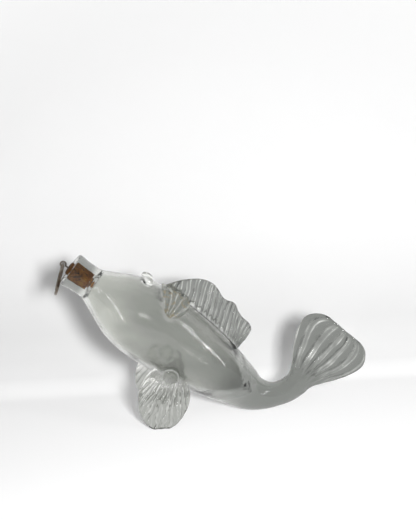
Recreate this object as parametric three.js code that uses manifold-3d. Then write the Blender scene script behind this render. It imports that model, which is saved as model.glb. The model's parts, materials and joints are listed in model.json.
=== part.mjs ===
// A clear glass decanter in the form of a fish, with a corked mouth and a pull ring.
// It stands nose up on its two side fins and on the underside of its tail root.
// Frame: +Z up, the mouth towards -X, the tail towards +X, the fish's left side towards -Y.
// Units: millimetres and degrees.
import * as THREE from "three";
import { mergeVertices } from "three/addons/utils/BufferGeometryUtils.js";
import Module from "manifold-3d";

// Clearances: fused pieces keep a hair of space, and a seated or running fit has its own
const FUSED_GAP = 0.3;
const CORK_CLEARANCE = 0.15;
const SHANK_CLEARANCE = 0.15;
const RING_CLEARANCE = 0.5;

// Course of the axis: straight down from the mouth, then a bend up into the tail
const BODY_PITCH = 38.5;
const STRAIGHT_LENGTH = 235;
const BEND_RADIUS = 45;
const TAIL_PITCH = 48;

// Neck: thick tube with a fire-polished lip
const NECK_LENGTH = 27;
const RIM_RADIUS = 18.8;
const WAIST_RADIUS = 17.5;
const NECK_END_RADIUS = 17.9;
const BORE_RADIUS = 6.9;
const BORE_END_RADIUS = 6.2;
const WAIST_STATION = 16;
const LIP_ROUND = 3;
const LIP_SWELL = 0.5;

// Bubble: outside radius, wall and where it stops. Reaches are the handles of the outline's curves
const BELLY_STATION = 105;
const BELLY_RADIUS = 42.2;
const SHOULDER_ANGLE = 24;
const SHOULDER_REACH = 33;
const CROWN_REACH = 35;
const FLANK_REACH = 101;
const ROOT_REACH = 30;
const ROOT_STATION = 280;
const ROOT_RADIUS = 13;
const THROAT_RADIUS = 11.5;
const THROAT_ANGLE = 30;
const THROAT_REACH = 25;
const WALL = 3.6;
const BUBBLE_END = 236;
const BUBBLE_END_REACH = 14;
const PLUG_LENGTH = 36;
const BELLY_GRIND = 0.6;

// Tail: solid stem, then a grooved fan
const STEM_RADIUS = 14.2;
const FAN_START = -4;
const FAN_LENGTH = 76;
const FAN_HALF_WIDTH = 44.6;
const FAN_END_HALF_WIDTH = 21;
const FAN_CORNER = 19;
const FAN_ROOT_THICKNESS = 15;
const FAN_EDGE_THICKNESS = 5;
const FAN_GROOVES = 7;
const FAN_GROOVE_DEPTH = 0.34;

// Dorsal fin: ribbed ribbon, its edge as [station of a rib's foot, height over the back]. The ribs lean towards the
// head, and from DORSAL_LEAN_TURN of the way along they fan out to the rear
const DORSAL_EDGE = [
  [94.6, 4], [108.3, 16], [131.5, 29.5], [150.5, 35], [165.2, 31],
  [180.8, 35], [190.5, 30.5], [196.5, 30], [198.5, 25], [199, 12],
];
const DORSAL_LEAN = -22.4;
const DORSAL_REAR_LEAN = 9.4;
const DORSAL_LEAN_TURN = 0.6;
const DORSAL_SINK = 6;
const DORSAL_ROOT_THICKNESS = 7.5;
const DORSAL_EDGE_THICKNESS = 3.4;
const DORSAL_END_SHARE = 0.35;
const DORSAL_END_RUN = 0.16;
const DORSAL_RIBS = 21;
const DORSAL_RIB_DEPTH = 0.36;
const DORSAL_RUFFLES = 3;
const DORSAL_RUFFLE_HEIGHT = 3;
const GATHER_STATION = 108.5;
const GATHER_LENGTH = 37;
const GATHER_WRAP = 55;
const GATHER_HEIGHT = 4.5;

// Pectoral fins: ribbed fans that are the front feet, placed by station and angle from the belly line
const FIN_STATION = 147;
const FIN_ANGLE = 50;
const FIN_SPLAY = 5.5;
const FIN_SWEEP = 13;
const FIN_LIFT = 1.5;
const FIN_ROOT_DEPTH = 14;
const FIN_ROOT_WIDTH = 20;
const FIN_WIDTH = 55;
const FIN_WIDEST = 24;
const FIN_ROOT_THICKNESS = 9;
const FIN_EDGE_THICKNESS = 4.4;
const FIN_RIBS = 13;
const FIN_RIB_DEPTH = 0.34;
const FOOT_GRIND = 1.8;
const PAD_RADIUS = 8.6;
const PAD_HEIGHT = 3.6;
const PAD_SHIFT = 2.5;

// Eyes
const EYE_RADIUS = 6.8;
const EYE_STATION = 73;
const EYE_ANGLE = 14;
const EYE_SINK = 1;

// Stopper and its ring, which the stiff eye holds at an angle to the plane of the rim
const CORK_LENGTH = 27;
const CORK_PROUD = 2;
const CORK_CHAMFER = 0.8;
const SHANK_RADIUS = 1;
const SHANK_DEPTH = 12;
const EYE_WIRE_RADIUS = 0.9;
const EYE_STANDOFF = 3.2;
const RING_RADIUS = 16.6;
const RING_WIRE_RADIUS = 1.4;
const RING_REST_LEAN = 21.4;

// Facets
const ROUND_SEGMENTS = 32;
const SMALL_SEGMENTS = 12;
const STEPS_PER_RIB = 3;

// How square a blade's cross-section is: 2 is an ellipse, more is a slab with rounded edges
const ROUND_SECTION = 2;
const SLAB_SECTION = 6;

const glass = new THREE.MeshStandardMaterial({
  color: 0xb4bcb8, roughness: 0.05, metalness: 0, transparent: true, opacity: 0.4,
});
const corkBark = new THREE.MeshStandardMaterial({ color: 0xb87c48, roughness: 0.9, metalness: 0 });
const oldSteel = new THREE.MeshStandardMaterial({ color: 0x77736b, roughness: 0.4, metalness: 1 });

const wasm = await Module();
wasm.setup();
const radians = THREE.MathUtils.degToRad;
const SIDE = new THREE.Vector3(0, -1, 0);

// A closed geometry as a solid that can be joined and cut.
function solidOf(geometry) {
  const bare = new THREE.BufferGeometry();
  bare.setAttribute("position", geometry.getAttribute("position"));
  bare.setIndex(geometry.index);
  const merged = mergeVertices(bare, 1e-4);
  const faces = [];
  for (let i = 0; i < merged.index.count; i += 3) {
    const [a, b, c] = merged.index.array.slice(i, i + 3);
    if (a !== b && b !== c && c !== a) faces.push(a, b, c);
  }
  const vertProperties = merged.getAttribute("position").array;
  return new wasm.Manifold(new wasm.Mesh({ numProp: 3, vertProperties, triVerts: new Uint32Array(faces) }));
}

function geometryOf(solid) {
  const { vertProperties, triVerts } = solid.getMesh();
  const geometry = new THREE.BufferGeometry();
  geometry.setAttribute("position", new THREE.BufferAttribute(vertProperties, 3));
  geometry.setIndex(new THREE.BufferAttribute(triVerts, 1));
  geometry.computeVertexNormals();
  return geometry;
}

function piece(name, geometry, material) {
  const mesh = new THREE.Mesh(geometry, material.clone());
  mesh.name = name;
  return mesh;
}

// The fish's left piece and its mirror image on the right.
function pair(name, geometry, material) {
  const left = piece(`left_${name}`, geometry, material);
  const right = piece(`right_${name}`, geometry, material);
  right.scale.y = -1;
  return [left, right];
}

// Closed loops of equal counts, turning right-handed about their course, skinned and capped at both ends.
function skin(loops) {
  const count = loops[0].length;
  const middle = (loop) => loop.reduce((sum, p) => sum.add(p), new THREE.Vector3()).divideScalar(count);
  const points = [...loops.flat(), middle(loops[0]), middle(loops.at(-1))];
  const index = [];
  const head = loops.length * count;
  loops.forEach((loop, i) => {
    for (let j = 0; j < count; j++) {
      const a = i * count + j;
      const b = i * count + ((j + 1) % count);
      if (i === 0) index.push(head, b, a);
      if (i === loops.length - 1) index.push(head + 1, a, b);
      else index.push(a, b, b + count, a, b + count, a + count);
    }
  });
  return new THREE.BufferGeometry().setFromPoints(points).setIndex(index);
}

// The axis of the fish, before it is lifted onto the floor: place, heading and back direction at a station.
const BEND_LENGTH = BEND_RADIUS * radians(BODY_PITCH + TAIL_PITCH);
const FAN_STATION = STRAIGHT_LENGTH + BEND_LENGTH;

function axisAt(station) {
  const straight = Math.min(station, STRAIGHT_LENGTH);
  const turn = THREE.MathUtils.clamp(station - STRAIGHT_LENGTH, 0, BEND_LENGTH) / BEND_RADIUS;
  const start = -radians(BODY_PITCH);
  const angle = start + turn;
  const beyond = Math.max(station - FAN_STATION, 0);
  const heading = new THREE.Vector3(Math.cos(angle), 0, Math.sin(angle));
  const back = new THREE.Vector3(-Math.sin(angle), 0, Math.cos(angle));
  const place = new THREE.Vector3(Math.cos(start), 0, Math.sin(start)).multiplyScalar(straight);
  place.x += BEND_RADIUS * (Math.sin(angle) - Math.sin(start));
  place.z += BEND_RADIUS * (Math.cos(start) - Math.cos(angle));
  place.addScaledVector(heading, beyond);
  return { place, heading, back };
}

// Outlines of the bubble, as (station, radius).
const slope = (angle, reach) => [reach * Math.cos(radians(angle)), reach * Math.sin(radians(angle))];
const [shoulderX, shoulderY] = slope(SHOULDER_ANGLE, SHOULDER_REACH);
const [throatX, throatY] = slope(THROAT_ANGLE, THROAT_REACH);
const SHELL_START = NECK_LENGTH + FUSED_GAP;
const SHELL_END = BUBBLE_END + PLUG_LENGTH;
const INSIDE_RADIUS = BELLY_RADIUS - WALL;

const outside = new THREE.Path()
  .moveTo(SHELL_START, NECK_END_RADIUS)
  .bezierCurveTo(
    SHELL_START + shoulderX, NECK_END_RADIUS + shoulderY,
    BELLY_STATION - CROWN_REACH, BELLY_RADIUS,
    BELLY_STATION, BELLY_RADIUS,
  )
  .bezierCurveTo(
    BELLY_STATION + FLANK_REACH, BELLY_RADIUS,
    ROOT_STATION - ROOT_REACH, ROOT_RADIUS,
    ROOT_STATION, ROOT_RADIUS,
  )
  .getPoints(11);

const inside = new THREE.Path()
  .moveTo(SHELL_START, THROAT_RADIUS)
  .bezierCurveTo(
    SHELL_START + throatX, THROAT_RADIUS + throatY,
    BELLY_STATION - CROWN_REACH, INSIDE_RADIUS,
    BELLY_STATION, INSIDE_RADIUS,
  )
  .bezierCurveTo(
    BELLY_STATION + FLANK_REACH, INSIDE_RADIUS,
    BUBBLE_END, BUBBLE_END_REACH,
    BUBBLE_END, 0,
  )
  .getPoints(8);

// Outside radius at a station, read between the outline's points.
function radiusAt(station) {
  const next = outside.findIndex((p) => p.x >= station);
  if (next < 1) return outside.at(next).y;
  const [a, b] = [outside[next - 1], outside[next]];
  return THREE.MathUtils.mapLinear(station, a.x, b.x, a.y, b.y);
}

// Stands the fish on its belly: the lowest point of the outline, ground flat, is the floor.
const lowest = Math.min(
  ...outside.map(({ x, y }) => {
    const { place, back } = axisAt(x);
    return place.z - y * back.z;
  }),
);
const LIFT = -(lowest + BELLY_GRIND);

function spineAt(station) {
  const at = axisAt(station);
  at.place.z += LIFT;
  return at;
}

// A point by station, angle from the back line towards the fish's left, and distance from the axis.
function onBody(station, angle, radius) {
  const { place, back } = spineAt(station);
  const turned = radians(angle);
  return place
    .addScaledVector(back, radius * Math.cos(turned))
    .addScaledVector(SIDE, radius * Math.sin(turned));
}

// A turned solid whose axis is bent along the fish's own.
function bentLathe(outline) {
  const turned = new THREE.LatheGeometry(outline.map(({ x, y }) => new THREE.Vector2(y, x)), ROUND_SEGMENTS);
  const position = turned.getAttribute("position");
  for (let i = 0; i < position.count; i++) {
    const { place, back } = spineAt(position.getY(i));
    place.addScaledVector(SIDE, position.getX(i)).addScaledVector(back, position.getZ(i));
    position.setXYZ(i, place.x, place.y, place.z);
  }
  return solidOf(turned);
}

// The bubble's filled outside, grown by a gap so that it can cut what is fused to it.
function filledBubble(gap) {
  const skinPoints = outside
    .filter(({ x }) => x < SHELL_END)
    .map(({ x, y }) => new THREE.Vector2(x, y + gap));
  const front = new THREE.Vector2(SHELL_START - gap, NECK_END_RADIUS + gap);
  const rear = new THREE.Vector2(SHELL_END + gap, radiusAt(SHELL_END) + gap);
  const onAxis = ({ x }) => new THREE.Vector2(x, 0);
  const start = gap > 0 ? [onAxis(front), front] : [onAxis(front)];
  return bentLathe([...start, ...skinPoints, rear, onAxis(rear)]);
}

// Everything under the floor, to grind the feet and the belly flat.
const FLOOR_SIZE = 1000;
const floor = solidOf(new THREE.BoxGeometry(FLOOR_SIZE, FLOOR_SIZE, FLOOR_SIZE).translate(0, 0, -FLOOR_SIZE / 2));
const bodyCutter = filledBubble(FUSED_GAP);

function bodyShell() {
  const mouthOverrun = 2;
  const first = inside[0];
  const hollow = bentLathe([
    new THREE.Vector2(first.x - mouthOverrun, 0),
    new THREE.Vector2(first.x - mouthOverrun, first.y),
    ...inside,
  ]);
  return geometryOf(filledBubble(0).subtract(hollow).subtract(floor));
}

// One closed loop of a pressed blade: uniform steps across the width, ribs on both faces, thin at the edges.
function ribbedLoop({ centre, across, facing, halfWidth, halfThickness, fullness, ribs, depth }) {
  const steps = ribs * STEPS_PER_RIB;
  const loop = [];
  for (let k = 0; k < 2 * steps; k++) {
    const onBack = k >= steps;
    const v = onBack ? -3 + (2 * k) / steps : 1 - (2 * k) / steps;
    const rib = 1 - depth * (0.5 + 0.5 * Math.cos(Math.PI * ribs * (v + 1)));
    const t = halfThickness * Math.sqrt(Math.max(0, 1 - Math.abs(v) ** fullness)) * rib;
    loop.push(
      centre.clone().addScaledVector(across, halfWidth * v).addScaledVector(facing, onBack ? -t : t),
    );
  }
  return loop;
}

// Values that run smoothly from the first to the second as t goes from 0 to 1.
const eased = (from, to, t) => THREE.MathUtils.lerp(from, to, THREE.MathUtils.smoothstep(t, 0, 1));

// The tail's loops run along the axis: a round stem, then a fan with a rounded end.
function tailFin() {
  const start = SHELL_END + FUSED_GAP - FAN_STATION;
  const corner = FAN_LENGTH - FAN_CORNER;
  const flare = new THREE.CubicBezierCurve(
    new THREE.Vector2(FAN_START, STEM_RADIUS),
    new THREE.Vector2(FAN_START + (corner - FAN_START) / 4, STEM_RADIUS),
    new THREE.Vector2(corner - (corner - FAN_START) / 2.5, FAN_HALF_WIDTH),
    new THREE.Vector2(corner, FAN_HALF_WIDTH),
  );
  const outline = [
    new THREE.Vector2(start, radiusAt(SHELL_END)),
    new THREE.Vector2(start * 0.75 + FAN_START * 0.25, eased(radiusAt(SHELL_END), STEM_RADIUS, 0.4)),
    new THREE.Vector2(start * 0.5 + FAN_START * 0.5, eased(radiusAt(SHELL_END), STEM_RADIUS, 0.75)),
    ...flare.getPoints(8),
  ];
  for (const turn of [25, 45, 62, 78, 90]) {
    const [along, wide] = [Math.sin(radians(turn)), Math.cos(radians(turn))];
    outline.push(
      new THREE.Vector2(
        corner + FAN_CORNER * along,
        FAN_END_HALF_WIDTH + (FAN_HALF_WIDTH - FAN_END_HALF_WIDTH) * wide,
      ),
    );
  }
  const loops = outline.map(({ x, y }) => {
    const { place, back } = spineAt(FAN_STATION + x);
    const flattening = (x - start) / (FAN_LENGTH / 3 - start);
    const fanning = THREE.MathUtils.clamp((x - FAN_START) / (corner - FAN_START), 0, 1);
    const root = eased(2 * radiusAt(SHELL_END), FAN_ROOT_THICKNESS, flattening);
    return ribbedLoop({
      centre: place,
      across: back,
      facing: SIDE,
      halfWidth: y,
      halfThickness: eased(root, FAN_EDGE_THICKNESS, fanning) / 2,
      fullness: eased(ROUND_SECTION, SLAB_SECTION, fanning),
      ribs: FAN_GROOVES,
      depth: FAN_GROOVE_DEPTH * eased(0, 1, 2 * fanning),
    });
  });
  return geometryOf(solidOf(skin(loops)).subtract(floor));
}

// The gather at the dorsal fin's front root: a dome that lies over the back like a saddle.
function gather() {
  const rings = 5;
  const points = [];
  const faces = [];
  const place = (reach, turn, height) => {
    const station = GATHER_STATION + (GATHER_LENGTH / 2) * reach * Math.cos(turn);
    const angle = GATHER_WRAP * reach * Math.sin(turn);
    return onBody(station, angle, radiusAt(station) + height);
  };
  const around = SMALL_SEGMENTS * 2;
  for (let i = 0; i <= 2 * rings; i++) {
    const under = i > rings;
    const climb = (Math.PI / 2) * ((under ? 2 * rings - i : i) / rings);
    for (let j = 0; j < around; j++) {
      const height = under ? -DORSAL_SINK : GATHER_HEIGHT * Math.cos(climb);
      points.push(place(Math.sin(climb), (2 * Math.PI * j) / around, height));
    }
  }
  for (let i = 0; i < 2 * rings; i++) {
    for (let j = 0; j < around; j++) {
      const [a, b] = [i * around + j, i * around + ((j + 1) % around)];
      faces.push(a, b, b + around, a, b + around, a + around);
    }
  }
  return solidOf(new THREE.BufferGeometry().setFromPoints(points).setIndex(faces));
}

// The dorsal fin's loops run from front to rear; each goes up one face of a rib and down the other.
function dorsalFin() {
  const edge = new THREE.SplineCurve(DORSAL_EDGE.map(([x, y]) => new THREE.Vector2(x, y)));
  const stations = DORSAL_RIBS * STEPS_PER_RIB;
  const climb = 4;
  const brow = 0.96;
  const loops = [];
  for (let i = 0; i <= stations; i++) {
    const u = i / stations;
    const { x: station, y: height } = edge.getPoint(u);
    const { place, back, heading } = spineAt(station);
    const fanned = THREE.MathUtils.smoothstep(u, DORSAL_LEAN_TURN, 1);
    const lean = Math.tan(radians(THREE.MathUtils.lerp(DORSAL_LEAN, DORSAL_REAR_LEAN, fanned)));
    const foot = radiusAt(station) - DORSAL_SINK;
    const rib = 1 - DORSAL_RIB_DEPTH * (0.5 + 0.5 * Math.cos(2 * Math.PI * DORSAL_RIBS * u));
    const ends = Math.min(1, DORSAL_END_SHARE + Math.min(u, 1 - u) / DORSAL_END_RUN);
    const at = (v, face) => {
      const rise = v * (height + DORSAL_SINK);
      const thick = THREE.MathUtils.lerp(DORSAL_ROOT_THICKNESS, DORSAL_EDGE_THICKNESS, v) * ends;
      const sway = DORSAL_RUFFLE_HEIGHT * v * v * Math.sin(2 * Math.PI * DORSAL_RUFFLES * u);
      return place
        .clone()
        .addScaledVector(back, foot + rise)
        .addScaledVector(heading, lean * Math.max(0, rise - DORSAL_SINK))
        .addScaledVector(SIDE, sway + (face * thick * rib) / 2);
    };
    const loop = [at(1, 0)];
    for (let k = climb; k >= 0; k--) loop.push(at((brow * k) / climb, 1));
    for (let k = 0; k <= climb; k++) loop.push(at((brow * k) / climb, -1));
    loops.push(loop);
  }
  return geometryOf(solidOf(skin(loops)).add(gather()).subtract(bodyCutter));
}

// The left pectoral fin's own directions: down its length, across its width, and out of its outer face.
const finRoot = onBody(FIN_STATION, 180 - FIN_ANGLE, radiusAt(FIN_STATION) + FIN_LIFT);
const finDown = new THREE.Vector3(-Math.tan(radians(FIN_SWEEP)), -Math.tan(radians(FIN_SPLAY)), -1).normalize();
const finAcross = new THREE.Vector3(1, 0, 0).projectOnPlane(finDown).normalize();
const finFacing = finDown.clone().cross(finAcross);
const finReach = (finRoot.z + FOOT_GRIND) / -finDown.z;

function finSolid(gap) {
  const loops = [];
  const addLoop = (along, halfWidth) => {
    const t = THREE.MathUtils.clamp(along / finReach, 0, 1);
    loops.push(
      ribbedLoop({
        centre: finRoot.clone().addScaledVector(finDown, along),
        across: finAcross,
        facing: finFacing,
        halfWidth: halfWidth + gap,
        halfThickness: THREE.MathUtils.lerp(FIN_ROOT_THICKNESS, FIN_EDGE_THICKNESS, Math.sqrt(t)) / 2 + gap,
        fullness: SLAB_SECTION,
        ribs: FIN_RIBS,
        depth: FIN_RIB_DEPTH * eased(0, 1, (along + FIN_ROOT_DEPTH) / (FIN_WIDEST + FIN_ROOT_DEPTH)),
      }),
    );
  };
  const rootLoops = 4;
  for (let i = 0; i <= rootLoops; i++) {
    const swell = Math.sin((Math.PI / 2) * (i / rootLoops));
    const along = -FIN_ROOT_DEPTH + (i / rootLoops) * (FIN_WIDEST + FIN_ROOT_DEPTH);
    addLoop(along, THREE.MathUtils.lerp(FIN_ROOT_WIDTH, FIN_WIDTH, swell) / 2);
  }
  for (const turn of [22, 42, 60, 76]) {
    const along = FIN_WIDEST + (finReach - FIN_WIDEST) * Math.sin(radians(turn));
    addLoop(along, (FIN_WIDTH / 2) * Math.cos(radians(turn)));
  }
  return solidOf(skin(loops));
}

function pectoralFin() {
  return geometryOf(finSolid(0).subtract(bodyCutter).subtract(floor));
}

function finPad() {
  const button = new THREE.SphereGeometry(PAD_RADIUS, SMALL_SEGMENTS * 1.5, SMALL_SEGMENTS);
  button.scale(1, 1, (PAD_HEIGHT + FIN_LIFT) / PAD_RADIUS);
  const frame = new THREE.Matrix4().makeBasis(finDown.clone().negate(), finAcross, finFacing.clone().negate());
  frame.setPosition(
    finRoot
      .clone()
      .addScaledVector(finAcross, PAD_SHIFT)
      .addScaledVector(finFacing, FIN_ROOT_THICKNESS / 2),
  );
  return geometryOf(solidOf(button.applyMatrix4(frame)).subtract(bodyCutter).subtract(finSolid(FUSED_GAP)));
}

function eye() {
  const drop = new THREE.SphereGeometry(EYE_RADIUS, SMALL_SEGMENTS * 1.5, SMALL_SEGMENTS);
  const seat = onBody(EYE_STATION, EYE_ANGLE, radiusAt(EYE_STATION) - EYE_SINK);
  return geometryOf(solidOf(drop.translate(seat.x, seat.y, seat.z)).subtract(bodyCutter));
}

// The mouth's own frame: origin at the middle of the rim, +Z out along the neck, +X towards the fish's back.
const lathe = (points, segments) => new THREE.LatheGeometry(points, segments).rotateX(Math.PI / 2);

const lip = new THREE.Path()
  .moveTo(RIM_RADIUS - LIP_SWELL, -2 * LIP_ROUND)
  .quadraticCurveTo(RIM_RADIUS, -1.5 * LIP_ROUND, RIM_RADIUS, -LIP_ROUND)
  .quadraticCurveTo(RIM_RADIUS, 0, RIM_RADIUS - LIP_ROUND, 0)
  .lineTo(BORE_RADIUS + LIP_ROUND, 0)
  .quadraticCurveTo(BORE_RADIUS, 0, BORE_RADIUS, -LIP_ROUND)
  .getPoints(4);

function neck() {
  const waist = new THREE.Path()
    .moveTo(BORE_END_RADIUS, -NECK_LENGTH)
    .lineTo(NECK_END_RADIUS, -NECK_LENGTH)
    .quadraticCurveTo(WAIST_RADIUS, -WAIST_STATION, lip[0].x, lip[0].y)
    .getPoints(4);
  const outline = [...waist, ...lip.slice(1), waist[0].clone()];
  return lathe(outline, ROUND_SEGMENTS);
}

const taper = (BORE_RADIUS - BORE_END_RADIUS) / (NECK_LENGTH - LIP_ROUND);
const boreAt = (z) => BORE_RADIUS + taper * (z + LIP_ROUND);

function cork() {
  const inner = CORK_PROUD - CORK_LENGTH;
  const outerRadius = boreAt(CORK_PROUD) - CORK_CLEARANCE;
  const innerRadius = boreAt(inner) - CORK_CLEARANCE;
  const hole = SHANK_RADIUS + SHANK_CLEARANCE;
  const holeEnd = CORK_PROUD - SHANK_DEPTH - FUSED_GAP;
  return lathe(
    [
      new THREE.Vector2(0, inner),
      new THREE.Vector2(innerRadius - CORK_CHAMFER, inner),
      new THREE.Vector2(innerRadius, inner + CORK_CHAMFER),
      new THREE.Vector2(outerRadius, CORK_PROUD - CORK_CHAMFER),
      new THREE.Vector2(outerRadius - CORK_CHAMFER, CORK_PROUD),
      new THREE.Vector2(hole, CORK_PROUD),
      new THREE.Vector2(hole, holeEnd),
      new THREE.Vector2(0, holeEnd),
    ],
    ROUND_SEGMENTS,
  );
}

const EYE_RING_RADIUS = RING_WIRE_RADIUS + RING_CLEARANCE + EYE_WIRE_RADIUS;
const HINGE_HEIGHT = CORK_PROUD + EYE_STANDOFF + EYE_RING_RADIUS + EYE_WIRE_RADIUS;

function eyeScrew() {
  const loop = new THREE.TorusGeometry(EYE_RING_RADIUS, EYE_WIRE_RADIUS, 8, 20);
  loop.rotateX(Math.PI / 2).translate(0, 0, HINGE_HEIGHT);
  const bottom = CORK_PROUD - SHANK_DEPTH;
  const top = HINGE_HEIGHT - EYE_RING_RADIUS;
  const shank = new THREE.CylinderGeometry(SHANK_RADIUS, SHANK_RADIUS, top - bottom, SMALL_SEGMENTS);
  shank.rotateX(Math.PI / 2).translate(0, 0, (top + bottom) / 2);
  return geometryOf(solidOf(loop).add(solidOf(shank)));
}

function pullRing() {
  const ring = new THREE.TorusGeometry(RING_RADIUS, RING_WIRE_RADIUS, 8, 36);
  return ring.translate(-RING_RADIUS, 0, 0);
}

// Assembly: the stopper rides in the mouth, and its ring hangs in the eye.
const ringHinge = new THREE.Group();
ringHinge.position.z = HINGE_HEIGHT;
ringHinge.rotation.y = -radians(RING_REST_LEAN);
ringHinge.add(piece("pull_ring", pullRing(), oldSteel));

const stopper = new THREE.Group();
stopper.add(piece("cork", cork(), corkBark), piece("eye_screw", eyeScrew(), oldSteel), ringHinge);

const mouth = new THREE.Group();
mouth.position.copy(spineAt(0).place);
mouth.rotation.y = radians(BODY_PITCH - 90);
mouth.add(piece("neck", neck(), glass), stopper);

const fish = new THREE.Group();
fish.add(
  mouth,
  piece("body_shell", bodyShell(), glass),
  piece("tail_fin", tailFin(), glass),
  piece("dorsal_fin", dorsalFin(), glass),
  ...pair("pectoral_fin", pectoralFin(), glass),
  ...pair("fin_pad", finPad(), glass),
  ...pair("eye", eye(), glass),
);

// The origin is under the middle of the whole decanter, on the surface that it stands on.
const span = new THREE.Box3().setFromObject(fish, true);
fish.position.x = -(span.min.x + span.max.x) / 2;

const decanter = new THREE.Group();
decanter.add(fish);

export default decanter;
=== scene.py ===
import json
import math

import bmesh
import bpy
from mathutils import Matrix, Vector, noise
from mathutils.geometry import interpolate_bezier


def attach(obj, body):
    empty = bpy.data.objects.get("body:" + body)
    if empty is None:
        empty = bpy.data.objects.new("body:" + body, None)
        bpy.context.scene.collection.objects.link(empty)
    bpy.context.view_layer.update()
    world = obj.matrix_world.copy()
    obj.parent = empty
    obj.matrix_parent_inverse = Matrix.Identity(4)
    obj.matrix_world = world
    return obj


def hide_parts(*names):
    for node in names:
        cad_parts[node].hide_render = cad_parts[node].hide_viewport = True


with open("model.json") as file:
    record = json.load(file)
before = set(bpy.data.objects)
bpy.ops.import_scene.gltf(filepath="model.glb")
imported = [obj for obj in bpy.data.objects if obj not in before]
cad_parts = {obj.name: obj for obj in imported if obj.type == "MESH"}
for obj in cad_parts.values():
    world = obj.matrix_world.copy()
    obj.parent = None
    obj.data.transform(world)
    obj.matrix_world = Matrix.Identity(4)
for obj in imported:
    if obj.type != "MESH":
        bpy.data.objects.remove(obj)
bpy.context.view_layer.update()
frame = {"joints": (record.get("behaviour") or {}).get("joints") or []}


# Body: one bubble of clear glass, blown long and left hollow, with a thin wall and a heavy solid end. Its
# neck is a thick tube with a fire-polished lip and a tapered bore, and all other glass is fused on hot.
# Lengths are millimetres, and a station is the distance from the rim along the axis.
swing = next(joint for joint in frame["joints"] if joint["name"] == "ring_swing")
HINGE = Vector(swing["pos_m"]) * 1000
HINGE_HEIGHT = 8.9
PITCH = math.radians(38.5)
TAIL_PITCH = math.radians(48)
STRAIGHT = 235
BEND = 45
BEND_END = STRAIGHT + BEND * (PITCH + TAIL_PITCH)
SIDE = Vector((0, -1, 0))
MOUTH_IN = Vector((math.cos(PITCH), 0, -math.sin(PITCH)))
MOUTH_UP = Vector((math.sin(PITCH), 0, math.cos(PITCH)))
MOUTH = HINGE + HINGE_HEIGHT * MOUTH_IN
SAME_POINT = 1e-3
STEADY = 14


def spine(station):
    """The place on the fish's axis, and its directions along and towards the back."""
    angle = min(max(station - STRAIGHT, 0), BEND_END - STRAIGHT) / BEND - PITCH
    along = Vector((math.cos(angle), 0, math.sin(angle)))
    back = Vector((-math.sin(angle), 0, math.cos(angle)))
    place = MOUTH + min(station, STRAIGHT) * MOUTH_IN
    place += BEND * Vector((math.sin(angle) + math.sin(PITCH), 0, math.cos(PITCH) - math.cos(angle)))
    return place + max(station - BEND_END, 0) * along, along, back


def arc(start, start_handle, end_handle, end, steps):
    """Points of a curve in (station, radius)."""
    corners = [Vector((*point, 0)) for point in (start, start_handle, end_handle, end)]
    return [(p.x, p.y) for p in interpolate_bezier(*corners, steps)]


def lathe(outline, steps):
    """An outline in (radius, height), spun once about the upright axis."""
    bm = bmesh.new()
    verts = [bm.verts.new((radius, 0, height)) for radius, height in outline]
    edges = [bm.edges.new(pair) for pair in zip(verts, verts[1:])]
    bmesh.ops.spin(
        bm, geom=verts + edges, cent=(0, 0, 0), axis=(0, 0, 1), angle=math.tau, steps=steps, use_merge=True
    )
    bmesh.ops.remove_doubles(bm, verts=bm.verts, dist=SAME_POINT)
    return bm


def turned(outline, steps):
    """An outline in (station, radius), spun about the fish's axis and bent along it."""
    bm = lathe([(radius, station) for station, radius in outline], steps)
    for v in bm.verts:
        place, along, back = spine(v.co.z)
        v.co = place + SIDE * v.co.x + back * v.co.y
    bmesh.ops.recalc_face_normals(bm, faces=bm.faces)
    return bm


def eased(low, high, t):
    """A smooth step from low to high as t goes from 0 to 1."""
    t = min(max(t, 0), 1)
    return low + (high - low) * t * t * (3 - 2 * t)


def waver(bm, height, size, seed):
    """The slow unevenness of hot glass: points move along their normals, except where the tail joins."""
    bm.normal_update()
    for v in bm.verts:
        free = eased(0, height, ((v.co - TAIL_JOINT).length - TAIL_JOINT_RADIUS) / STEADY)
        v.co += v.normal * free * noise.noise(v.co / size + Vector((seed, 0, 0)))


def grounded(bm):
    """What would reach below the table is flat instead."""
    for v in bm.verts:
        v.co.z = max(v.co.z, 0)


NECK_END = 27.3
NECK_RADIUS = 17.9
SHOULDER = (30.5, 13.4)
WIDEST = 105
GIRTH = 42.2
HOLLOW_GIRTH = 38.6
SHELL_END = 272.4
outer = arc((NECK_END, NECK_RADIUS), (57.5, 31.3), (70, GIRTH), (WIDEST, GIRTH), 40)
outer += arc((WIDEST, GIRTH), (206, GIRTH), (250, 13), (280, 13), 90)[1:]
hollow = arc(SHOULDER, (50, 25), (70, HOLLOW_GIRTH), (WIDEST, HOLLOW_GIRTH), 26)
hollow += arc((WIDEST, HOLLOW_GIRTH), (196, HOLLOW_GIRTH), (226, 13), (239, 0), 60)[1:]


def radius_at(station):
    """The bubble's outside radius."""
    for (s0, r0), (s1, r1) in zip(outer, outer[1:]):
        if station <= s1:
            return r0 + (r1 - r0) * (station - s0) / (s1 - s0)
    return outer[-1][1]


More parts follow.
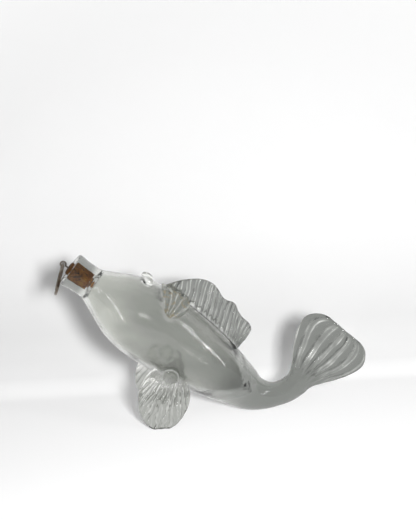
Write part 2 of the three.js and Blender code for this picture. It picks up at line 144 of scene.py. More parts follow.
TAIL_JOINT = spine(SHELL_END)[0]
TAIL_JOINT_RADIUS = radius_at(SHELL_END)
skin = [(SHELL_END, TAIL_JOINT_RADIUS)]
skin += [point for point in outer[::-1] if point[0] < SHELL_END - 1]
corner = (NECK_END, NECK_RADIUS)
for start_handle, end_handle, end, steps in (
    ((16, 17.2), (10, 17.9), (4, 18.6), 16),
    ((1.4, 18.9), (0, 18.2), (0, 16.4), 10),
    ((-0.3, 14), (-0.3, 11), (0, 9.3), 8),
    ((0.2, 7.6), (1.2, 6.9), (3, 6.9), 8),
    ((10, 6.7), (17, 6.5), (24.6, 6.27), 8),
    ((26.6, 6.4), (27.6, 10.4), SHOULDER, 10),
):
    skin += arc(corner, start_handle, end_handle, end, steps)[1:]
    corner = end
body = turned(skin + hollow[1:], steps=192)
waver(body, height=0.3, size=42, seed=3)
waver(body, height=0.16, size=17, seed=8)
grounded(body)


class Shade:
    """A socket of a material's nodes, so that a sum on it is written as a sum."""

    def __init__(self, tree, socket=None):
        self.tree = tree
        self.socket = socket

    def add(self, kind, settings, inputs, output=0):
        node = self.tree.nodes.new(kind)
        for key, value in settings.items():
            if key == "stops":
                ramp = node.color_ramp.elements
                while len(ramp) < len(value):
                    ramp.new(0.5)
                for stop, (position, colour) in zip(ramp, value):
                    stop.position = position
                    stop.color = (*colour, 1)
            else:
                setattr(node, key, value)
        for key, value in inputs.items():
            if isinstance(value, Shade):
                self.tree.links.new(value.socket, node.inputs[key])
            else:
                node.inputs[key].default_value = value
        return Shade(self.tree, node.outputs[output] if node.outputs else None)

    def sum(self, operation, first, second):
        return self.add("ShaderNodeMath", {"operation": operation}, {0: first, 1: second})

    def __add__(self, other):
        return self.sum("ADD", self, other)

    def __radd__(self, other):
        return self.sum("ADD", other, self)

    def __sub__(self, other):
        return self.sum("SUBTRACT", self, other)

    def __rsub__(self, other):
        return self.sum("SUBTRACT", other, self)

    def __mul__(self, other):
        return self.sum("MULTIPLY", self, other)

    def __rmul__(self, other):
        return self.sum("MULTIPLY", other, self)


def new_material(name):
    """An empty material, its nodes, and the place on the object that they paint."""
    material = bpy.data.materials.new(name)
    material.use_nodes = True
    material.node_tree.nodes.clear()
    shade = Shade(material.node_tree)
    return material, shade, shade.add("ShaderNodeTexCoord", {}, {}, "Object")


def speckle(shade, spot, scale, detail, **more):
    """Cloudy noise from 0 to 1."""
    inputs = {"Vector": spot, "Scale": scale, "Detail": detail, **more}
    return shade.add("ShaderNodeTexNoise", {}, inputs, "Fac")


def between(shade, value, low, high, curve="LINEAR"):
    """How far a value has come from low to high, as 0 to 1."""
    ends = {"Value": value, "From Min": low, "From Max": high}
    return shade.add("ShaderNodeMapRange", {"interpolation_type": curve}, ends)


def reached(shade, spot, first, last, curve="SMOOTHSTEP"):
    """How far a point has come from the first station to the last, as 0 to 1."""
    along = shade.add("ShaderNodeVectorMath", {"operation": "DOT_PRODUCT"}, {0: spot, 1: MOUTH_IN}, "Value")
    start = MOUTH.dot(MOUTH_IN) / 1000
    return between(shade, along, start + first / 1000, start + last / 1000, curve)


def tinted(shade, value, stops):
    """A colour that runs through the stops as the value goes from 0 to 1."""
    return shade.add("ShaderNodeValToRGB", {"stops": stops}, {"Fac": value}, "Color")


def blend(shade, share, first, second):
    """The first colour, with a share of the second, which is a fixed one."""
    first = first if isinstance(first, Shade) else (*first, 1)
    return shade.add("ShaderNodeMix", {"data_type": "RGBA"}, {0: share, 6: first, 7: (*second, 1)}, 2)


def glass(name, cast, crinkle):
    """Clear glass, uneven by a hair where it was worked. cast(shade, spot) gives its colour: a faint tint
    darkened with painted shade, with painted highlights on some pieces.
    """
    material, shade, spot = new_material(name)
    drift = speckle(shade, spot, 24, 2)
    cords = speckle(shade, spot, 190, 3, Distortion=0.8)
    ripple = shade.add(
        "ShaderNodeBump", {}, {"Strength": crinkle, "Distance": 0.0007, "Height": cords + 2 * drift}
    )
    surface = shade.add(
        "ShaderNodeBsdfPrincipled",
        {},
        {
            "Base Color": cast(shade, spot),
            "Roughness": 0.004 + 0.016 * cords,
            "Normal": ripple,
            "IOR": 1.5,
            "Transmission Weight": 1.0,
        },
    )
    weld = shade.add("ShaderNodeAttribute", {"attribute_name": "weld"}, {}, "Fac")
    melted = shade.add("ShaderNodeBsdfTransparent", {}, {})
    skin = shade.add("ShaderNodeMixShader", {}, {"Fac": weld, 1: surface, 2: melted})
    shade.add("ShaderNodeOutputMaterial", {}, {"Surface": skin})
    return material


def settle(bm, name, material, body, slot, *nodes):
    """The finished mesh becomes a piece in metres that rides on its body and stands for its nodes."""
    bmesh.ops.scale(bm, vec=(0.001, 0.001, 0.001), verts=bm.verts)
    mesh = bpy.data.meshes.new(name)
    bm.to_mesh(mesh)
    bm.free()
    mesh.shade_smooth()
    mesh.materials.append(material)
    piece = bpy.data.objects.new(name, mesh)
    bpy.context.scene.collection.objects.link(piece)
    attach(piece, body)
    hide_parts(*nodes)
    return piece


# Painted shade: these greys stand for the shaded surroundings seen through the glass, on top of its own
# faint tint.
WALL_SHADE_TINTS = [(0.20, (0.46, 0.47, 0.45)), (0.60, (0.56, 0.57, 0.545)), (1.0, (0.79, 0.80, 0.765))]
NECK_SHADE_TINT = (0.29, 0.30, 0.285)
SOLID_SHADE_TINT = (0.225, 0.235, 0.22)


def bubble_cast(shade, spot):
    """Painted shade over a faint tint: grey where two thin walls are seen, lighter towards the head and the
    underside, deeper in the neck and the solid end, with slow streaks along the fish.
    """
    rise = shade.add("ShaderNodeVectorMath", {"operation": "DOT_PRODUCT"}, {0: spot, 1: MOUTH_UP}, "Value")
    axis = MOUTH.dot(MOUTH_UP) / 1000
    underside = between(shade, rise, axis, axis - 0.036, "SMOOTHSTEP")
    head = reached(shade, spot, 115, 45)
    drawn = shade.add(
        "ShaderNodeMapping", {}, {"Vector": spot, "Rotation": (0, -PITCH, 0), "Scale": (5, 26, 26)}
    )
    wall = tinted(shade, 0.85 * speckle(shade, drawn, 1, 2) + 0.38 * head + 0.24 * underside, WALL_SHADE_TINTS)
    tube = blend(shade, reached(shade, spot, 26, 19), wall, NECK_SHADE_TINT)
    return blend(shade, reached(shade, spot, 185, 250), tube, SOLID_SHADE_TINT)


bubble_glass = glass("bubble_glass", bubble_cast, crinkle=0.27)
bubble = settle(body, "bubble", bubble_glass, "glass", "glass", "body_shell", "neck")


# Tail: a solid rod drawn from the end of the bubble and bent upwards, then pinched out hot into a flat
# fan, with long flutes pressed into both faces.
def rolled(around, along, place):
    """A grid rolled into a closed skin. place(turn, run) gives each point, turn going once round and run
    from 0 to 1, how bright a painted highlight it gets on the crests of ribs, and how far it is melted into
    other glass."""
    bm = bmesh.new()
    # The first layer holds how bright a painted highlight each point gets.
    crest = bm.verts.layers.float.new("crest")
    weld = bm.verts.layers.float.new("weld")
    bmesh.ops.create_grid(bm, x_segments=around, y_segments=along, size=0.5)
    for v in bm.verts:
        v.co, v[crest], v[weld] = place((v.co.x + 0.5) * math.tau, v.co.y + 0.5)
    bmesh.ops.remove_doubles(bm, verts=bm.verts, dist=SAME_POINT)
    bmesh.ops.holes_fill(bm, edges=[edge for edge in bm.edges if edge.is_boundary])
    bmesh.ops.recalc_face_normals(bm, faces=bm.faces)
    return bm


def level(points, x):
    """Straight lines through points in (x, y)."""
    for (x0, y0), (x1, y1) in zip(points, points[1:]):
        if x <= x1:
            return y0 + (y1 - y0) * max(0, x - x0) / (x1 - x0)
    return points[-1][1]


def squared(wave, power):
    """A sine wave whose tops are flattened, for a slab with rounded edges."""
    return math.copysign(abs(wave) ** power, wave)


def bump(value, middle, width):
    """1 at the middle, falling away to both sides."""
    return math.exp(-(((value - middle) / width) ** 2))


def ribbed_cast(tint, glint_tint):
    """Grey glass, partly painted shade, with a painted highlight along the crests of its ribs that is
    stronger in patches.
    """

    def cast(shade, spot):
        crest = shade.add("ShaderNodeAttribute", {"attribute_name": "crest"}, {}, "Fac")
        # Patches where the painted highlight is stronger.
        worked = between(shade, speckle(shade, spot, 60, 3), 0.35, 0.65)
        return blend(shade, crest * (0.25 + 0.75 * worked), tint, glint_tint)

    return cast


TAIL_START = SHELL_END - BEND_END
STEM_END = -4
STEM_HALF = 14.2
STEM_THICK = 15
FAN_CORNER = 57
FAN_LENGTH = 76
FAN_HALF = 44.6
FAN_TIP = 21
FAN_THICK = 6.4
FAN_EDGE = 4
FLUTES = 6
FLUTE_DEPTH = 0.68
fan_edge = arc((TAIL_START, TAIL_JOINT_RADIUS), (-22, 13), (-12, STEM_HALF), (STEM_END, STEM_HALF), 12)
fan_edge += arc((STEM_END, STEM_HALF), (11.3, STEM_HALF), (32.6, FAN_HALF), (FAN_CORNER, FAN_HALF), 30)
for step in range(1, 19):
    turn = math.radians(step * 5)
    reach = FAN_CORNER + (FAN_LENGTH - FAN_CORNER) * math.sin(turn)
    fan_edge.append((reach, FAN_TIP + (FAN_HALF - FAN_TIP) * math.cos(turn)))


def tail_point(turn, run):
    reach = TAIL_START + (FAN_LENGTH - TAIL_START) * (1 - (1 - run) ** 1.4)
    place, along, back = spine(BEND_END + reach)
    fanned = min(max((reach - STEM_END) / (FAN_CORNER - STEM_END), 0), 1)
    width = level(fan_edge, reach)
    across = math.cos(turn)
    root = eased(2 * TAIL_JOINT_RADIUS, STEM_THICK, (reach - TAIL_START) / 54)
    thick = eased(root, FAN_THICK, fanned) / 2
    end = math.sqrt(max(0, 1 - max(0, (reach - FAN_LENGTH + FAN_EDGE) / FAN_EDGE) ** 2))
    wander = noise.noise(Vector((2 * across, reach / 25, 1)))
    lane = across + 0.05 * math.sin(4 * across + 1) + 0.05 * wander
    flute = 0.5 - 0.5 * math.cos(math.pi * FLUTES * (lane + 1))
    pressed = eased(0, 1, 2.2 * fanned - 0.25)
    pressed *= eased(0, 1, (FAN_LENGTH - reach) / (7 + 5 * abs(across)))
    dished = 1 - FLUTE_DEPTH * pressed * flute**0.6
    edge = squared(math.sin(turn), eased(1, 0.42, 1.6 * fanned))
    # Painted highlight: thin bright lines on both sides of the flute ridges, broken up by noise.
    lines = 1 + 0.7 * noise.noise(Vector((6 * lane, reach / 14, 7)))
    ridge_glint = lines * pressed * bump(flute, 0.22, 0.12)
    return place + back * width * across + SIDE * thick * edge * end * dished, ridge_glint, 0


tail = rolled(180, 150, tail_point)
root_face = min(tail.faces, key=lambda face: (face.calc_center_median() - TAIL_JOINT).length)
bmesh.ops.delete(tail, geom=[root_face], context="FACES_ONLY")
waver(tail, height=0.7, size=15, seed=21)
waver(tail, height=0.25, size=6, seed=33)
grounded(tail)
# Painted shade in its solid grey, painted highlight along the flute ridges.
tail_glass = glass("tail_glass", ribbed_cast(SOLID_SHADE_TINT, (0.86, 0.87, 0.84)), crinkle=0.65)
settle(tail, "tail_fan", tail_glass, "glass", "glass", "tail_fin")


# Back fin: a ribbon of hot glass laid along the back, crimped into close ribs with pincers and pulled up
# into three ruffles. A heavy gather at its front root lies over the back like a saddle.
def flow(points, t):
    """A smooth curve through points, t going from 0 to 1."""
    where = t * (len(points) - 1)
    i = min(int(where), len(points) - 2)
    f = where - i
    p0, p1, p2, p3 = (Vector(points[min(max(i + k, 0), len(points) - 1)]) for k in (-1, 0, 1, 2))
    cubic = 1.5 * (p1 - p2) + 0.5 * (p3 - p0)
    return p1 + f * (0.5 * (p2 - p0) + f * (p0 - 2.5 * p1 + 2 * p2 - 0.5 * p3 + f * cubic))


CREST = [
    (94.6, 4), (108.3, 16), (131.5, 29.5), (150.5, 35), (165.2, 31),
    (180.8, 35), (190.5, 30.5), (196.5, 30), (198.5, 25), (199, 12),
]
CRIMPS = 21
RUFFLES = 3
WELD = 0.8
WALL_DEPTH = 6
LEAN_FRONT = math.tan(math.radians(-22.4))
LEAN_REAR = math.tan(math.radians(9.4))


def crest_point(turn, run):
    station, height = flow(CREST, run)
    place, along, back = spine(station)
    v = 0.5 - 0.5 * math.cos(turn)
    rise = v * (height + WELD)
    ends = min(1, 0.3 + 7 * run, 0.3 + 7 * (1 - run)) * min(1, 40 * run, 40 * (1 - run))
    wander = 1.6 * noise.noise(Vector((9 * run, 2 * v, 4)))
    crimp = 0.5 + 0.5 * math.cos(math.tau * CRIMPS * run + wander)
    dot = (0.5 + 0.5 * math.cos(math.tau * CRIMPS * run + 3)) * bump(rise, 3.4, 1.7)
    thick = ((3.7 - 1.9 * v) * (1 - 0.5 * crimp) + 2 * dot) * ends
    sway = 3 * v * v * math.sin(math.tau * RUFFLES * run)
    side = sway + thick * squared(math.sin(turn), 0.4)
    lean = eased(LEAN_FRONT, LEAN_REAR, (run - 0.6) / 0.4)
    point = place + back * (radius_at(station) - WELD + rise)
    point += along * lean * max(0, rise - WELD)
    point += SIDE * side
    # The second value is a painted highlight on the crimps and the beads between them.
    return point, max(dot, bump(crimp, 0.3, 0.16)) * ends, eased(1, 0, (rise - WELD) / 1.5)


SADDLE_STATION = 108.5
SADDLE_HALF = 18.5
SADDLE_TURN = math.radians(55)
SADDLE_HEIGHT = 4.5
SADDLE_FOLDS = 15


def saddle_point(turn, run):
    climb = math.pi * run
    reach = math.sin(climb)
    x, y = reach * math.cos(turn), reach * math.sin(turn)
    station = SADDLE_STATION + SADDLE_HALF * x
    angle = SADDLE_TURN * y
    wander = 1.5 * noise.noise(Vector((3 * x, 3 * y, 6)))
    fan = math.cos(SADDLE_FOLDS * math.atan2(x + 0.1, 1.2 - abs(y)) + wander)
    outside = run < 0.5
    height = ((SADDLE_HEIGHT + 1.3 * fan * reach) if outside else WELD) * math.cos(climb)
    place, along, back = spine(station)
    radius = radius_at(station) + height
    point = place + back * radius * math.cos(angle) + SIDE * radius * math.sin(angle)
    # The second value is a painted highlight on the tops of the folds.
    return point, max(0, fan) ** 3 * outside, eased(0, 1, (run - 0.44) / 0.06)


def gather_cast(shade, spot):
    """Crinkled glass, its grey partly painted shade, with a painted highlight on the folds and a few amber
    glints deep in it.
    """
    folds = ribbed_cast((0.20, 0.21, 0.19), (0.97, 0.97, 0.95))(shade, spot)
    amber = between(shade, speckle(shade, spot, 230, 2), 0.55, 0.62)
    return blend(shade, 0.8 * amber, folds, (0.30, 0.21, 0.08))


back_fin = rolled(64, CRIMPS * 16, crest_point)
waver(back_fin, height=0.3, size=5, seed=51)
# Its grey is partly painted shade, and its ribs get a painted highlight.
fin_glass = glass("fin_glass", ribbed_cast((0.26, 0.27, 0.255), (0.84, 0.85, 0.82)), crinkle=0.55)
settle(back_fin, "back_fin", fin_glass, "glass", "glass", "dorsal_fin")
saddle = rolled(144, 48, saddle_point)
waver(saddle, height=0.6, size=5, seed=61)
waver(saddle, height=0.6, size=2.2, seed=62)
gather_glass = glass("gather_glass", gather_cast, crinkle=1.4)
settle(saddle, "back_fin_gather", gather_glass, "glass", "glass", "dorsal_fin")


def fused(piece, covers):
    """Glass that is melted together has no skin in between. covers(point) says how much of it is gone."""
    weld = piece.data.attributes.get("weld") or piece.data.attributes.new("weld", "FLOAT", "POINT")
    for v, gone in zip(piece.data.vertices, weld.data):
        gone.value = max(gone.value, covers(Vector((v.co.x, -abs(v.co.y), v.co.z)) * 1000))


def bubble_depth(point):
    """How far a point lies under the bubble's outside."""
    station = (point - MOUTH).dot(MOUTH_IN)
    return radius_at(station) - (point - MOUTH - station * MOUTH_IN).length


def under_back_fin(point):
    """The part of the bubble's skin that the ribbon and its saddle have melted into."""
    station = (point - MOUTH).dot(MOUTH_IN)
    if bubble_depth(point) > WALL_DEPTH or (point - MOUTH).dot(MOUTH_UP) < 0:
        return 0
    angle = math.asin(min(1, -point.y / radius_at(station)))
    saddle_reach = math.hypot((station - SADDLE_STATION) / SADDLE_HALF, angle / SADDLE_TURN)
    ribbon = eased(1, 0, (-point.y - 2.2) / 1.5) if 97 < station < 198 else 0
    return max(ribbon, eased(1, 0, (saddle_reach - 0.92) / 0.08))


fused(bubble, under_back_fin)


# Side fins: two shells of glass pressed in a ribbed mould and stuck on hot, one each side. Their lower
# edges are ground flat, because the fish stands on them.
FIN_STATION = 147
FIN_TURN = math.radians(130)
fin_place, _, fin_back = spine(FIN_STATION)
fin_normal = fin_back * math.cos(FIN_TURN) + SIDE * math.sin(FIN_TURN)
fin_root = fin_place + fin_normal * (radius_at(FIN_STATION) + 1.5)
fin_down = Vector((-math.tan(math.radians(13)), -math.tan(math.radians(5.5)), -1)).normalized()
fin_across = (Vector((1, 0, 0)) - fin_down * fin_down.x).normalized()
fin_facing = fin_down.cross(fin_across)
GROUND_OFF = 1.8
FIN_REACH = (fin_root.z + GROUND_OFF) / -fin_down.z
FIN_TOP = -14
FIN_WIDEST = 24
FIN_HALF = 27.5
FIN_ROOT_HALF = 10
RIBS_PER_TURN = 66


def fin_half(reach):
    """Half the fin's width and half its thickness, as far down as reach."""
    t = min(max(reach / FIN_REACH, 0), 1)
    thick = (4.5 - 2.2 * math.sqrt(t)) + 1.1 * bump(reach, 0, 5)
    if reach < FIN_WIDEST:
        swell = math.sin(math.pi / 2 * max(0, reach - FIN_TOP) / (FIN_WIDEST - FIN_TOP))
        return FIN_ROOT_HALF + (FIN_HALF - FIN_ROOT_HALF) * swell, thick
    return FIN_HALF * math.sqrt(max(0, 1 - ((reach - FIN_WIDEST) / (FIN_REACH - FIN_WIDEST)) ** 2)), thick


def fin_at(turn, reach):
    half, thick = fin_half(reach)
    across = math.cos(turn)
    spread = math.atan2(half * across - 9, reach + 26)
    wander = noise.noise(Vector((9 * spread, reach / 13, 9)))
    wander += 0.5 * noise.noise(Vector((20 * spread, reach / 6, 2)))
    rib = 0.5 + 0.5 * math.cos(RIBS_PER_TURN * spread + 2.4 * wander)
    ribbed = eased(0, 1, (reach + 1) / 12)
    cup = 1.6 * across * across * min(max(reach / FIN_REACH, 0), 1)
    side = thick * (1 - 0.5 * rib * ribbed) * squared(math.sin(turn), 0.4) + cup
    point = fin_root + fin_down * reach + fin_across * half * across + fin_facing * side
    lines = 0.5 + 0.5 * noise.noise(Vector((14 * spread, reach / 20, 5)))
    # The second value is a painted highlight along the ribs, broken up by the lines above.
    return point, bump(rib, 0.25, 0.14) * ribbed * lines, eased(0, 1, 1 + bubble_depth(point) / 1.2)


def fin_point(turn, run):
    low, high = FIN_TOP, 22
    for halving in range(18):
        middle = (low + high) / 2
        if bubble_depth(fin_at(turn, middle)[0]) > WELD:
            low = middle
        else:
            high = middle
    return fin_at(turn, low + (FIN_REACH - low) * (1 - (1 - run) ** 1.5))


def side_cast(shade, spot):
    """Clear at the root, which is seen with the bubble, and grey below, the grey partly painted shade, with
    a painted highlight along the ribs.
    """
    height = shade.add("ShaderNodeSeparateXYZ", {}, {"Vector": spot}, "Z")
    fan = ribbed_cast((0.40, 0.41, 0.385), (0.94, 0.94, 0.92))(shade, spot)
    return blend(shade, between(shade, height, 0.036, 0.052), fan, (0.92, 0.92, 0.90))


def mirrored(bm):
    """The same mesh on the fish's other side."""
    twin = bm.copy()
    bmesh.ops.scale(twin, vec=(1, -1, 1), verts=twin.verts)
    bmesh.ops.recalc_face_normals(twin, faces=twin.faces)
    return twin


fin = rolled(260, 110, fin_point)
waver(fin, height=0.4, size=6, seed=71)
grounded(fin)
other_fin = mirrored(fin)
side_glass = glass("side_glass", side_cast, crinkle=0.55)
left_fin = settle(fin, "left_side_fin", side_glass, "glass", "glass", "left_pectoral_fin")
right_fin = settle(other_fin, "right_side_fin", side_glass, "glass", "glass", "right_pectoral_fin")


# Fin pads: round buttons of hot glass pressed into the crease where each side fin meets the body, to weld
# it on. The tool that pressed them has left each face dished inside a rounded rim.
pad_facing = (fin_facing + fin_normal).normalized()
pad_up = (fin_down * -1 + pad_facing * fin_down.dot(pad_facing)).normalized()
pad_across = pad_up.cross(pad_facing)
pad_seat = fin_root + fin_across * 2.5 + pad_facing * 3.2
PAD_OUTLINE = [
    (0, -3.2), (6.4, -3.2), (8.4, -1.4), (8.7, 0.6), (7.9, 2.3), (6.2, 2.9), (4, 2.4), (2, 2.0), (0, 1.9),
]
PAD_RADIUS = 9
PAD_MELT = 8


def button(outline, points, steps, across, up, facing, place):
    """A smooth outline in (radius, height), spun about its own axis, which looks along facing from its
    place. What lies below 0 is melted in."""
    bm = lathe([tuple(flow(outline, i / points)) for i in range(points + 1)], steps)
    bmesh.ops.recalc_face_normals(bm, faces=bm.faces)
    weld = bm.verts.layers.float.new("weld")
    for v in bm.verts:
        v[weld] = eased(1, 0, (v.co.z + 0.6) / 0.6)
    turn = Matrix((across, up, facing)).transposed().to_4x4()
    bmesh.ops.transform(bm, matrix=Matrix.Translation(place) @ turn, verts=bm.verts)
    return bm


pad = button(PAD_OUTLINE, 40, 64, pad_across, pad_up, pad_facing, pad_seat)
waver(pad, height=0.3, size=6, seed=81)
other_pad = mirrored(pad)
clear_glass = glass("clear_glass", ribbed_cast((0.90, 0.91, 0.88), (0.95, 0.95, 0.93)), crinkle=0.5)
settle(pad, "left_pad", clear_glass, "glass", "glass", "left_fin_pad")
settle(other_pad, "right_pad", clear_glass, "glass", "glass", "right_fin_pad")
for piece in (left_fin, right_fin):
    fused(piece, lambda point: eased(1, 0, ((point - pad_seat).length - PAD_RADIUS) / PAD_MELT))


# Eyes: two drops of hot glass let fall on the head, one each side of the back. Each has sunk to a low dome
# with a thick foot and is melted into the bubble under it.
EYE_STATION = 73
EYE_TURN = math.radians(14)
EYE_OUTLINE = [(0, -1), (5, -1), (6.6, 0), (6.8, 1.4), (6.1, 3.4), (4.4, 5), (2.2, 5.7), (0, 5.9)]
EYE_FOOT = 6.2
EYE_MELT = 1.2
eye_place, eye_along, eye_back = spine(EYE_STATION)
eye_facing = eye_back * math.cos(EYE_TURN) + SIDE * math.sin(EYE_TURN)
eye_seat = eye_place + eye_facing * radius_at(EYE_STATION)
eye = button(EYE_OUTLINE, 36, 56, eye_along, eye_facing.cross(eye_along), eye_facing, eye_seat)
waver(eye, height=0.25, size=5, seed=91)
other_eye = mirrored(eye)
settle(eye, "left_eye_drop", clear_glass, "glass", "glass", "left_eye")
settle(other_eye, "right_eye_drop", clear_glass, "glass", "glass", "right_eye")


def under_eye(point):
    """The part of the bubble's skin that an eye has melted into."""
    gone = eased(1, 0, ((point - eye_seat).length - EYE_FOOT) / EYE_MELT)
    return gone * (bubble_depth(point) < WALL_DEPTH)


fused(bubble, under_eye)


# Cork: a short tapered stopper cut from bark, pushed into the neck. It is pitted, streaked across by the
# bark's own pores, and dark with use, above all at the end that is handled.
CORK_OUT = -2
CORK_IN = 25
CORK_RADIUS = 7.1
CORK_TAPER = 0.75
CORK_EDGE = 0.8
HOLE_END = 10.3
HOLE = 1.15
cork_outline = [(HOLE_END, 0), (HOLE_END, HOLE), (CORK_OUT, HOLE), (CORK_OUT, 6.1)]
cork_outline += [(CORK_OUT + 0.2, 6.7), (CORK_OUT + CORK_EDGE, CORK_RADIUS)]
for step in range(1, 40):
    cork_outline.append((CORK_OUT + CORK_EDGE + 25.4 * step / 40, CORK_RADIUS - CORK_TAPER * step / 40))
cork_outline += [(CORK_IN - CORK_EDGE, 6.33), (CORK_IN - 0.2, 5.9)]
cork_outline += [(CORK_IN, 5.4), (CORK_IN, 2.5), (CORK_IN, 0)]
cork = turned(cork_outline, steps=96)
for v in cork.verts:
    pit = noise.noise(v.co / 1.5) * noise.noise(v.co / 4 + Vector((5, 0, 0)))
    v.co -= v.normal * max(0, pit - 0.12) * 1.6

BARK = [
    (0.34, (0.15, 0.050, 0.005)),
    (0.46, (0.38, 0.135, 0.012)),
    (0.56, (0.54, 0.215, 0.024)),
    (0.68, (0.70, 0.340, 0.055)),
]
PORE_TINT = (0.055, 0.022, 0.010)
HANDLED_TINT = (0.060, 0.030, 0.014)
bark, shade, spot = new_material("bark_cork")
cells = speckle(shade, spot, 420, 5, Roughness=0.65)
across_grain = shade.add(
    "ShaderNodeMapping", {}, {"Vector": spot, "Rotation": (0, PITCH, 0), "Scale": (60, 520, 300)}
)
pores = tinted(shade, speckle(shade, across_grain, 1, 3), [(0.36, (1, 1, 1)), (0.43, (0, 0, 0))])
grain = tinted(shade, 0.55 * cells + 0.45 * speckle(shade, spot, 90, 2), BARK)
handled = reached(shade, spot, 6, -1, "LINEAR")
worn = blend(shade, 0.85 * handled, blend(shade, 0.75 * pores, grain, PORE_TINT), HANDLED_TINT)
rough = shade.add(
    "ShaderNodeBump", {}, {"Strength": 0.7, "Distance": 0.0005, "Height": cells - 0.6 * pores}
)
surface = shade.add(
    "ShaderNodeBsdfPrincipled", {}, {"Base Color": worn, "Roughness": 0.75 + 0.2 * cells, "Normal": rough}
)
shade.add("ShaderNodeOutputMaterial", {}, {"Surface": surface})
settle(cork, "stopper_cork", bark, "stopper", "cork", "cork")


# Eye screw: a length of steel wire with a shank driven into the cork, its free end bent round into an eye
# that all but closes.
WIRE = 0.9
EYE_LOOP = 2.8
SHANK = 15
LOOP_TURN = math.radians(335)
TARNISH = [(0.38, (0.30, 0.28, 0.25)), (0.52, (0.17, 0.14, 0.11)), (0.66, (0.06, 0.042, 0.03))]


def wire_mesh(path, radius, around, along):
    """A wire of round section along path(run), which gives a place and two directions across the wire."""

    def skin_point(turn, run):
        place, first, second = path(run)
        close = min(1, math.sqrt(max(0, run * 60)), math.sqrt(max(0, (1 - run) * 60)))
        return place + close * radius * (first * math.cos(turn) + second * math.sin(turn)), 0, 0

    return rolled(around, along, skin_point)


def screw_path(run):
    walked = run * (SHANK + EYE_LOOP * LOOP_TURN)
    if walked < SHANK:
        return HINGE + MOUTH_IN * (EYE_LOOP + SHANK - walked), MOUTH_UP, SIDE
    bend = (walked - SHANK) / EYE_LOOP
    out = MOUTH_IN * math.cos(bend) + MOUTH_UP * math.sin(bend)
    return HINGE + out * EYE_LOOP, out, SIDE


steel, shade, spot = new_material("dull_wire")
bloom = speckle(shade, spot, 150, 4)
scratched = shade.add(
    "ShaderNodeBump", {}, {"Strength": 0.25, "Distance": 0.0001, "Height": speckle(shade, spot, 1300, 2)}
)
surface = shade.add(
    "ShaderNodeBsdfPrincipled",
    {},
    {
        "Base Color": tinted(shade, bloom, TARNISH),
        "Roughness": 0.24 + 0.4 * bloom,
        "Metallic": 1.0,
        "Normal": scratched,
    },
)
shade.add("ShaderNodeOutputMaterial", {}, {"Surface": surface})
settle(wire_mesh(screw_path, WIRE, 20, 120), "wire_eye", steel, "stopper", "wire", "eye_screw")


# Pull ring: a loop of thicker steel wire, butted end to end, that hangs in the eye. The eye is stiff with
# tarnish and holds it at an angle to the rim.
RING = 16.6
RING_WIRE = 1.4
RING_LEAN = math.radians(21.4)
SEAM = math.radians(200)
SEAM_GAP = math.radians(1)
hang = MOUTH_IN * math.sin(RING_LEAN) - MOUTH_UP * math.cos(RING_LEAN)


def ring_path(run):
    angle = SEAM + SEAM_GAP + run * (math.tau - 2 * SEAM_GAP)
    out = -hang * math.cos(angle) + SIDE * math.sin(angle)
    return HINGE + hang * RING + out * RING, out, hang.cross(SIDE)


settle(wire_mesh(ring_path, RING_WIRE, 24, 200), "wire_ring", steel, "ring", "wire", "pull_ring")


# Floor: a sheet of white paper, in metres, that the fish stands on and that sweeps up close behind it to
# take the shadow. It fades to plain white farther out and where the glass shows it, and it is duller to
# light that bounces, so that it doesn't light the fish.
SWEEP_START = 0.06
SWEEP_RADIUS = 0.06
PAPER = 3
PAPER_DROP = 0.0002
sweep = [(-PAPER, 0), (-1, 0), (-0.4, 0), (-0.1, 0), (SWEEP_START, 0)]
for step in range(1, 13):
    turn = math.radians(step * 7.5)
    sweep.append((SWEEP_START + SWEEP_RADIUS * math.sin(turn), SWEEP_RADIUS * (1 - math.cos(turn))))
sweep += [(SWEEP_START + SWEEP_RADIUS, height) for height in (0.3, 0.8, PAPER)]
floor_bm = bmesh.new()
verts = [floor_bm.verts.new((-PAPER, y, z - PAPER_DROP)) for y, z in sweep]
edges = [floor_bm.edges.new(pair) for pair in zip(verts, verts[1:])]
wide = bmesh.ops.extrude_edge_only(floor_bm, edges=edges)["geom"]
far_side = [v for v in wide if isinstance(v, bmesh.types.BMVert)]
bmesh.ops.translate(floor_bm, vec=(2 * PAPER, 0, 0), verts=far_side)
bmesh.ops.recalc_face_normals(floor_bm, faces=floor_bm.faces)
floor_bm.normal_update()
if sum(face.normal.z for face in floor_bm.faces) < 0:
    bmesh.ops.reverse_faces(floor_bm, faces=floor_bm.faces)
floor_mesh = bpy.data.meshes.new("floor")
floor_bm.to_mesh(floor_mesh)
floor_bm.free()
floor_mesh.shade_smooth()
floor = bpy.data.objects.new("floor", floor_mesh)
bpy.context.scene.collection.objects.link(floor)


def ray(shade, kind):
    """Whether the light path is of a kind, or how often it has bounced."""
    return shade.add("ShaderNodeLightPath", {}, {}, kind)


def unbounced(shade):
    """1 until the light path has met a matt surface."""
    return 1 - shade.sum("MINIMUM", ray(shade, "Diffuse Depth"), 1)


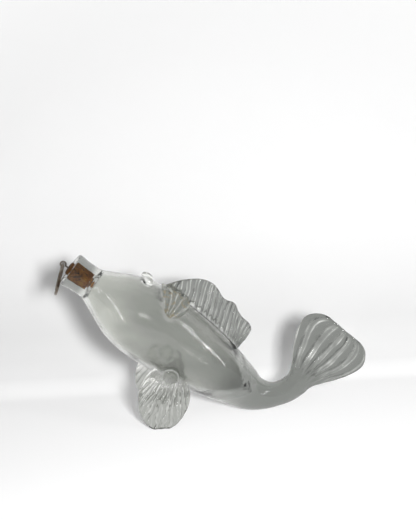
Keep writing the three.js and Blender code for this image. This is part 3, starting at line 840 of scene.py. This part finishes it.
PAPER_TONES = [(0, 0.95), (0.05, 0.76), (0.24, 0.76), (0.7, 0.85)]
paper, shade, spot = new_material("white_paper")
height = shade.add("ShaderNodeSeparateXYZ", {}, {"Vector": spot}, "Z")
tone = tinted(shade, 4 * height, [(at, (white, white, white)) for at, white in PAPER_TONES])
lit = shade.add(
    "ShaderNodeBsdfPrincipled",
    {},
    {
        "Base Color": blend(shade, 0.6 * ray(shade, "Is Diffuse Ray"), tone, (0.2, 0.2, 0.2)),
        "Roughness": 1.0,
        "Specular IOR Level": 0.0,
        "Normal": shade.add("ShaderNodeCombineXYZ", {}, {"X": 0.0, "Y": -0.85, "Z": 0.53}),
    },
)
plain = shade.add("ShaderNodeEmission", {}, {"Color": (1, 1, 1, 1), "Strength": 1.0})
far = shade.add("ShaderNodeVectorMath", {"operation": "LENGTH"}, {0: spot}, "Value")
fade = between(shade, far, 0.36, 0.60, "SMOOTHSTEP")
pale = shade.sum("MAXIMUM", fade, 0.08 + 0.26 * between(shade, height, 0.03, 0.0))
through = ray(shade, "Is Glossy Ray") + ray(shade, "Is Transmission Ray")
white = shade.sum("MINIMUM", ray(shade, "Is Camera Ray") * pale + through, 1) * unbounced(shade)
ground = shade.add("ShaderNodeMixShader", {}, {"Fac": white, 1: lit, 2: plain})
behind = shade.add("ShaderNodeNewGeometry", {}, {}, "Backfacing")
open_back = shade.add("ShaderNodeBsdfTransparent", {}, {})
sheet = shade.add("ShaderNodeMixShader", {}, {"Fac": behind, 1: ground, 2: open_back})
shade.add("ShaderNodeOutputMaterial", {}, {"Surface": sheet})
floor_mesh.materials.append(paper)


# Surroundings: a white room, seen past the paper, through the glass and faintly in its shine. As a light
# it is only a dim, even fill.
world = bpy.data.worlds.new("studio")
bpy.context.scene.world = world
world.use_nodes = True
world.node_tree.nodes.clear()
shade = Shade(world.node_tree)
seen = ray(shade, "Is Camera Ray") + ray(shade, "Is Transmission Ray") + 0.35 * ray(shade, "Is Glossy Ray")
seen = shade.sum("MINIMUM", seen, 1) * unbounced(shade)
soft = shade.add("ShaderNodeBackground", {}, {"Color": (1, 1, 1, 1), "Strength": 0.15})
white = shade.add("ShaderNodeBackground", {}, {"Color": (1, 1, 1, 1), "Strength": 1.0})
sky = shade.add("ShaderNodeMixShader", {}, {"Fac": seen, 1: soft, 2: white})
shade.add("ShaderNodeOutputWorld", {}, {"Surface": sky})


# Lights and camera: a long lens from the fish's left, a little above it. A small box lamp beside it casts
# the shadow, thin strips at both sides draw the streaks on the glass, and a wide box fills in from
# overhead. A second lamp at the small box's place lights the paper alone.
def aimed(obj, place, target, upright):
    """Puts a lamp or camera at place, looking at target, with its upper side towards upright."""
    back = (Vector(place) - Vector(target)).normalized()
    right = Vector(upright).cross(back).normalized()
    turn = Matrix((right, back.cross(right), back)).transposed().to_4x4()
    obj.matrix_world = Matrix.Translation(place) @ turn
    bpy.context.scene.collection.objects.link(obj)


def lamp(name, place, upright, width, length, power):
    """A rectangular lamp that looks at the middle of the fish."""
    light = bpy.data.lights.new(name, "AREA")
    light.shape = "RECTANGLE"
    light.size = width
    light.size_y = length
    light.energy = power
    obj = bpy.data.objects.new(name, light)
    aimed(obj, place, MIDDLE, upright)
    return obj


MIDDLE = (0, 0, 0.08)
UP = (0, 0, 1)
AZIMUTH = math.radians(-6)
ELEVATION = math.radians(15)
DISTANCE = 1.1
AIM = Vector((-0.0025, 0.0236, 0.1670))
view = Vector(
    (math.sin(AZIMUTH) * math.cos(ELEVATION), -math.cos(AZIMUTH) * math.cos(ELEVATION), math.sin(ELEVATION))
)
lens = bpy.data.cameras.new("camera")
lens.sensor_fit = "HORIZONTAL"
lens.sensor_width = 36
lens.lens = 87.17
camera = bpy.data.objects.new("camera", lens)
aimed(camera, AIM + DISTANCE * view, AIM, (0.02, 0, 1))
bpy.context.scene.camera = camera
bpy.context.scene.view_settings.view_transform = "Standard"

lamp("right_strip", (0.71, -0.43, 0.31), (-0.08, 0.2, 0.5), width=0.014, length=0.58, power=1.2)
lamp("left_strip", (-0.59, -0.76, 0.24), UP, width=0.016, length=0.9, power=0.9)
overhead = lamp("overhead_box", (0.15, 0.05, 1.1), (0, 1, 0), width=0.7, length=0.9, power=1.2)
beside = camera.matrix_world @ Vector((0.20, 0.02, 0))
front_box = lamp("front_box", beside, UP, width=0.17, length=0.17, power=5.5)
paper_box = lamp("paper_box", beside, UP, width=0.17, length=0.17, power=7.0)
for box in (overhead, front_box, paper_box):
    box.visible_glossy = False
paper_only = bpy.data.collections.new("paper_only")
paper_only.objects.link(floor)
paper_box.light_linking.receiver_collection = paper_only
